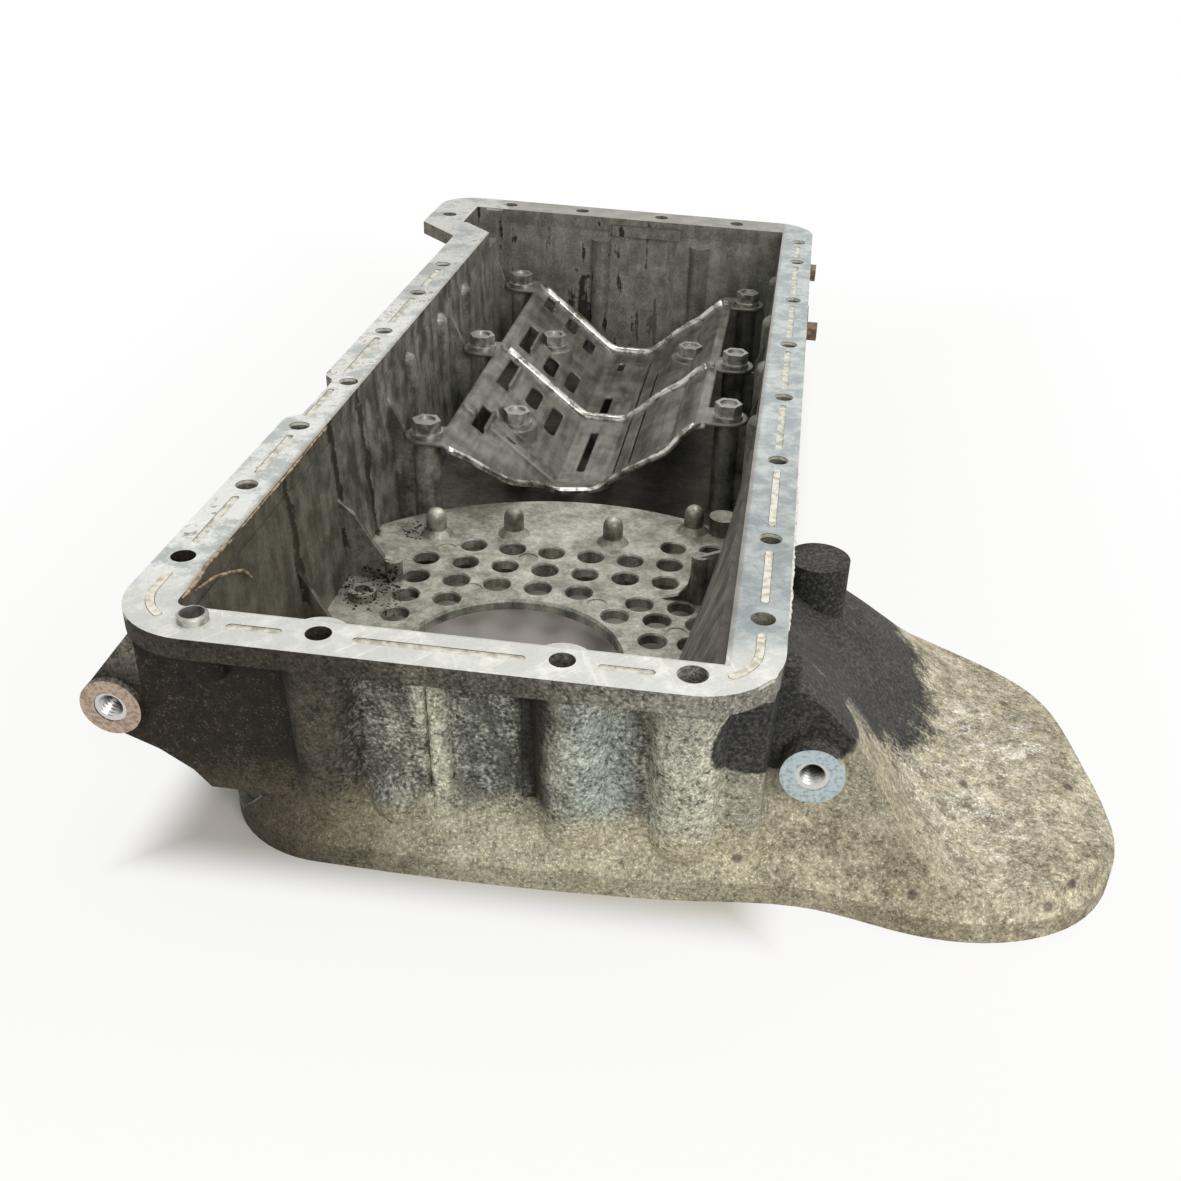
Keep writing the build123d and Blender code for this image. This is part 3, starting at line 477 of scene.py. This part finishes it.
# ---- Windage tray ---------------------------------------------------------------------------
# Pressed from sheet steel, with windows, lips and beads. Oil has left it grey-brown and semi-gloss.
# Its upright faces are painted lighter: bright shear-cut edges, and a painted highlight on steep faces.
# Its rolled near edge and two beads get a much lighter steel, a painted highlight.
tray_finish, sheet = new_finish("oily_sheet_steel")
place = place_in(sheet)
_, _, upward = facing_in(sheet).split()
film = place.noise(16, 4, 0.6)
run = place.stretched(1, 0.14, 1).noise(4, 4, 0.6)
colour = (film * 0.6 + run * 0.4).step(0.36, 0.64).tint((0.085, 0.082, 0.064), (0.27, 0.265, 0.225))
# upright faces painted lighter: partly bright shear-cut edges, partly a painted highlight on steep faces
# and bead sides
sheared_and_highlight = upward.step(0.35, 0.1) * upward.step(-0.35, -0.1)
colour = (sheared_and_highlight * 0.4).tint(colour, (0.50, 0.49, 0.44))
surface(sheet, colour, 0.22 + film * 0.24, run, height=0.12 * mm, strength=0.4, metallic=0.75,
        rounding=1.8 * mm)
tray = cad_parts["windage_tray"]
dress(tray, tray_finish)

# painted highlight: the rolled edge and the beads get a much lighter steel colour than the sheet
highlight_finish, highlight = new_finish("highlight_sheet_steel")
film = place_in(highlight).noise(7, 4, 0.6)
colour = film.step(0.38, 0.58).tint((0.17, 0.16, 0.13), (0.62, 0.61, 0.56))
surface(highlight, colour, 0.16 + film * 0.26, film, height=0.4 * mm, strength=0.5, metallic=0.85)

tray_low, tray_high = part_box("windage_tray")
tray_near = 286 * mm
tray_half = 60 * mm
station = 2.5 * mm
bead_rows = (96.5 * mm, 215.5 * mm)
past_bead = 6 * mm
bead_radius = 3.3 * mm
bead_sink = 0.4 * mm
edge_radius = 1.9 * mm
edge_inset = 0.6 * mm
edge_sink = 0.9 * mm
edge_search = 0.5 * mm
roll_sides = 12
skin = BVHTree.FromPolygons([corner.co for corner in tray.data.vertices],
                            [tuple(face.vertices) for face in tray.data.polygons])


def sheet_under(across, along):
    """Height of the sheet's top at a place, or None beside it or in a window."""
    hit = skin.ray_cast(Vector((across, along, 0)), Vector((0, 0, -1)))[0]
    return hit.z if hit else None


def first_edge(across):
    """Where the sheet starts at a distance across, coming from the gearbox end."""
    along = tray_low[1]
    while along < tray_high[1]:
        height = sheet_under(across, along)
        if height is not None:
            return Vector((across, along + edge_inset, height - edge_sink))
        along += edge_search
    return None


def smoothed(points):
    """The same run of points with its corners eased three times."""
    for _ in range(3):
        middles = [(before + 2 * middle + after) / 4
                   for before, middle, after in zip(points, points[1:], points[2:])]
        points = [points[0]] + middles + [points[-1]]
    return points


def square_to(points, number):
    """The sideways and upward directions square to a run of points at one of them."""
    ahead = points[min(number + 1, len(points) - 1)] - points[max(number - 1, 0)]
    side = ahead.cross(Vector((0, 0, 1))).normalized()
    return side, side.cross(ahead).normalized()


def ellipse(middle, side, over, count):
    """Points round a middle, as far out as the two half widths given as vectors."""
    turns = [2 * math.pi * step / count for step in range(count)]
    return [middle + side * math.cos(turn) + over * math.sin(turn) for turn in turns]


def skinned(name, rings, finish, hollow=False):
    """Piece skinned over rings of points: a smooth bar with flat ends, or a hollow closed ring."""
    shape = bmesh.new()
    loops = [[shape.verts.new(point) for point in ring] for ring in rings]
    if hollow:
        loops.append(loops[0])
    for inner, outer in zip(loops, loops[1:]):
        for step in range(len(inner)):
            following = (step + 1) % len(inner)
            face = shape.faces.new((inner[step], inner[following], outer[following], outer[step]))
            face.smooth = not hollow
    if not hollow:
        shape.faces.new(reversed(loops[0]))
        shape.faces.new(loops[-1])
    bmesh.ops.recalc_face_normals(shape, faces=shape.faces)
    mesh = bpy.data.meshes.new(name)
    shape.to_mesh(mesh)
    shape.free()
    mesh.materials.append(finish)
    piece = bpy.data.objects.new(name, mesh)
    bpy.context.scene.collection.objects.link(piece)
    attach(piece, "root")
    return piece


def rolled(name, points, radius):
    """Round roll of sheet along points."""
    points = smoothed(points)
    rings = []
    for number, middle in enumerate(points):
        side, over = square_to(points, number)
        rings.append(ellipse(middle, side * radius, over * radius, roll_sides))
    skinned(name, rings, highlight_finish)


columns = [-tray_half + station * number for number in range(int(2 * tray_half / station) + 1)]
rolled("tray_rolled_edge", [spot for spot in map(first_edge, columns) if spot], edge_radius)
for number, row in enumerate(bead_rows, 1):
    ridge = []
    for across in columns:
        height = sheet_under(across, tray_near + row + past_bead)
        if height is not None:
            ridge.append(Vector((across, tray_near + row, height - bead_sink)))
    rolled(f"tray_bead_{number}", ridge, bead_radius)


# ---- Tray bolts and dowel sleeve ------------------------------------------------------------
# Nine flanged hex bolts, zinc plated and filmed with oil, hold the tray down on its posts. The
# sleeve is turned steel, pushed into the left bore of the joint to locate the engine block.
zinc_finish, zinc = new_finish("zinc_plated_steel")
bloom = place_in(zinc).noise(4, 3)
_, _, upward = facing_in(zinc).split()
colour = bloom.step(0.35, 0.65).tint((0.30, 0.295, 0.26), (0.60, 0.60, 0.56))
oily_top = upward.step(0.6, 0.95) * bloom.step(0.4, 0.6)
colour = (oily_top * 0.6).tint(colour, (0.16, 0.15, 0.12))
surface(zinc, colour, 0.24 + bloom * 0.24, bloom, height=0.1 * mm, strength=0.35, metallic=0.9,
        rounding=0.4 * mm)
for name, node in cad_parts.items():
    if name.startswith(("tray_bolt", "dowel")):
        dress(node, zinc_finish)


# ---- Thread inserts -------------------------------------------------------------------------
# Bright steel liners screwed into the two gearbox bosses, so that the housing's bolts don't pull
# the thread out of the softer aluminium. Their thread turns are cut right through.
bright_finish, bright = new_finish("bright_turned_steel")
place = place_in(bright)
_, y, _ = place.split()
swirl = place.noise(1.5, 2)
# painted shade in the bore: the steel is painted dark beyond 15 mm in and bright only at the mouth
colour = y.step(15 * mm, 7 * mm).tint((0.10, 0.10, 0.095), (0.62, 0.62, 0.60))
surface(bright, colour, 0.22 + swirl * 0.15, swirl, height=0.05 * mm, strength=0.3, metallic=0.9)
thread_pitch = 1.75 * mm
thread_depth = 0.9 * mm
crest_radius = 4.1 * mm
lead_in = 0.7 * mm
ring_steps = 56
rows_a_turn = 8


def threaded_liner(node):
    """Closed ring in a liner's place, its bore cut with turns of thread."""
    low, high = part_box(node)
    middle_x, middle_z = (low[0] + high[0]) / 2, (low[2] + high[2]) / 2
    outer_radius = (high[0] - low[0]) / 2
    rows = int((high[1] - low[1]) / thread_pitch * rows_a_turn)
    rings = []
    for row in range(rows + 1):
        back = low[1] + (high[1] - low[1]) * row / rows
        ring = []
        for step in range(ring_steps):
            turn = (back / thread_pitch + step / ring_steps) % 1
            radius = crest_radius + thread_depth * abs(2 * turn - 1)
            if row == 0:
                radius = outer_radius - lead_in
            angle = 2 * math.pi * step / ring_steps
            ring.append((middle_x + radius * math.cos(angle), back, middle_z + radius * math.sin(angle)))
        rings.append(ring)
    for back in (high[1], low[1]):
        rings.append(ellipse(Vector((middle_x, back, middle_z)), Vector((outer_radius, 0, 0)),
                             Vector((0, 0, outer_radius)), ring_steps))
    liner = skinned(node + "_turns", rings, bright_finish, hollow=True)
    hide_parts(node)


for node in ("thread_insert_left", "thread_insert_right"):
    threaded_liner(node)


# ---- Side clip and its bolts ----------------------------------------------------------------
# A clip of mild steel strip and two bolts, screwed to bosses on the wing side's outer wall. They
# were never plated, so all three are brown with light rust.
rust_finish, rust = new_finish("light_rust")
bloom = place_in(rust).noise(5, 4, 0.6)
colour = bloom.step(0.3, 0.7).tint((0.10, 0.055, 0.03), (0.34, 0.25, 0.18))
surface(rust, colour, 0.55 + bloom * 0.3, bloom, height=0.2 * mm, strength=0.5, metallic=0.4,
        rounding=0.4 * mm)
for name in ("side_clip", "side_bolt_mid", "side_bolt_far"):
    dress(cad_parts[name], rust_finish)


# ---- Sealant --------------------------------------------------------------------------------
# Old cured sealant: cream strips left in four grooves, a thin line squeezed out along the wing side,
# and amber curls that hang off the inner edge at the left.
sealant_finish, cured = new_finish("cured_sealant")
crumble = place_in(cured).noise(3, 2)
colour = crumble.step(0.30, 0.60).tint((0.50, 0.44, 0.32), (0.78, 0.75, 0.65))
surface(cured, colour, 0.75, crumble, height=0.5 * mm, strength=0.9)
for name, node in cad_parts.items():
    if name.startswith("sealant_strip"):
        dress(node, sealant_finish)

amber_finish, amber = new_finish("amber_sealant")
crumble = place_in(amber).noise(3, 3)
colour = crumble.step(0.38, 0.62).tint((0.13, 0.075, 0.03), (0.42, 0.31, 0.18))
surface(amber, colour, 0.45, crumble, height=0.4 * mm, strength=0.6, coat=0.3)
bead_sides = 8
bead_step = 1.6 * mm


def bead(name, points, width, flat, finish, seed):
    """Lumpy bead along points in millimetres, its height a share of its width."""
    dice = random.Random(seed)
    route = [Vector(point) * mm for point in points]
    spine = []
    for start, end in zip(route, route[1:]):
        count = max(2, int((end - start).length / bead_step))
        spine += [start.lerp(end, step / count) for step in range(count)]
    spine.append(route[-1])
    swell = 1.0
    rings = []
    for number, middle in enumerate(spine):
        side, over = square_to(spine, number)
        swell = 0.6 * swell + 0.4 * dice.uniform(0.45, 1.5)
        from_end = min(number, len(spine) - 1 - number)
        radius = width * mm / 2 * swell * min(1, 0.3 + 0.35 * from_end)
        shift = side * dice.uniform(-0.2, 0.2) * width * mm
        rings.append(ellipse(middle + shift, side * radius, over * radius * flat, bead_sides))
    skinned(name, rings, finish)


bead("squeeze_out_near", [(114.1, 34, -0.6), (114.1, 96, -0.7), (114.2, 150, -0.5)], 1.3, 0.9,
     sealant_finish, 3)
bead("squeeze_out_middle", [(114.1, 158, -0.6), (112.6, 176, -0.6), (112.4, 236, -0.7)], 1.2, 0.9,
     sealant_finish, 4)
bead("amber_curl_upper", [(-93.6, 13, -0.4), (-92.6, 24, 0.6), (-93.2, 38, 1.6), (-93.4, 50, 0.5),
                          (-93.8, 60, -1.5)], 1.7, 0.8, amber_finish, 5)
bead("amber_curl_lower", [(-93.2, 22, -2.5), (-91.2, 34, -3.5), (-90.4, 46, -8), (-91.0, 58, -14),
                          (-91.4, 66, -22)], 1.5, 0.8, amber_finish, 6)
bead("amber_line", [(-93.9, 66, -0.8), (-93.9, 110, -0.9), (-93.9, 166, -0.8)], 1.3, 0.8,
     amber_finish, 7)


# ---- Studio ---------------------------------------------------------------------------------
# A wide floor of pale paper, plain in the pan's shade and glowing white round it, and a pale room. Two
# soft lamps, one overhead and one at the gearbox end on the wing side, and the camera above that end.
floor_half = 14.0
floor_level = cad_low[2]
floor_mesh = bpy.data.meshes.new("studio_floor")
floor_mesh.from_pydata([(-floor_half, -floor_half, floor_level), (floor_half, -floor_half, floor_level),
                        (floor_half, floor_half, floor_level), (-floor_half, floor_half, floor_level)],
                       [], [(0, 1, 2, 3)])
floor = bpy.data.objects.new("studio_floor", floor_mesh)
bpy.context.scene.collection.objects.link(floor)
seen_rays = {"camera": 0, "glossy": 3, "transmission": 6}
shade_middle = 275 * mm
shade_half_length = 268 * mm
shade_half_width = 96 * mm


def seen_straight(wire):
    """1 for rays that show a thing, direct, mirrored or through glass, and 0 for those that light it."""
    shown = [wire.add("ShaderNodeLightPath", {"output": number}) for number in seen_rays.values()]
    return (shown[0] + shown[1] + shown[2]).bounded()


floor_finish, ground = new_finish("white_paper")
x, y, _ = place_in(ground).split()
past_side = x.unsigned() - shade_half_width
past_end = (y - shade_middle).unsigned() - shade_half_length
clear = past_side.maths("MAXIMUM", past_end)
glow = clear.step(0, 30 * mm) * 0.88 + clear.step(60 * mm, 300 * mm) * 0.12
paper = ground.add("ShaderNodeBsdfDiffuse", Color=(0.70, 0.65, 0.58))
white = ground.add("ShaderNodeEmission", Color=(1, 1, 1), Strength=1.0)
mixed = ground.add("ShaderNodeMixShader", i0=seen_straight(ground) * glow, i1=paper, i2=white)
ground.add("ShaderNodeOutputMaterial", Surface=mixed)
floor_mesh.materials.append(floor_finish)

world = bpy.data.worlds.new("soft_room")
bpy.context.scene.world = world
world.use_nodes = True
world.node_tree.nodes.clear()
room = Wire(world.node_tree)
daylight = room.add("ShaderNodeBackground", Color=(0.95, 0.97, 1.0), Strength=0.55)
paper = room.add("ShaderNodeBackground", Color=(1, 1, 1), Strength=1.0)
mixed = room.add("ShaderNodeMixShader", i0=seen_straight(room), i1=daylight, i2=paper)
room.add("ShaderNodeOutputWorld", Surface=mixed)


def softbox(name, spot, aim, size, power):
    """Square area lamp at a spot, turned to its aim."""
    lamp = bpy.data.lights.new(name, "AREA")
    lamp.energy = power
    lamp.size = size
    holder = bpy.data.objects.new(name, lamp)
    bpy.context.scene.collection.objects.link(holder)
    holder.location = spot
    holder.rotation_euler = (Vector(aim) - Vector(spot)).to_track_quat("-Z", "Y").to_euler()


softbox("overhead", (0.3, 0.6, 1.5), (0.0, 0.25, -0.05), 1.2, 12)
softbox("front_fill", (0.9, -1.2, 0.9), (0.05, 0.1, -0.05), 0.9, 14)

image_width = 1181
focal_pixels = 1323.7
centre_column = 658.6
centre_row = 612.2
sensor_width = 36
camera_spot = Vector((101.38, -357.70, 239.14)) * mm
camera_aim = Vector((64.4, 85.7, -29.9)) * mm
camera_roll = math.radians(3.6)
lens = bpy.data.cameras.new("camera")
lens.sensor_width = sensor_width
lens.lens = focal_pixels / image_width * sensor_width
lens.shift_x = (image_width / 2 - centre_column) / image_width
lens.shift_y = (centre_row - image_width / 2) / image_width
camera = bpy.data.objects.new("camera", lens)
bpy.context.scene.collection.objects.link(camera)
camera.location = camera_spot
camera.rotation_euler = (camera_aim - camera_spot).to_track_quat("-Z", "Y").to_euler()
camera.rotation_euler.rotate_axis("Z", camera_roll)
bpy.context.scene.camera = camera
bpy.context.scene.view_settings.view_transform = "Standard"
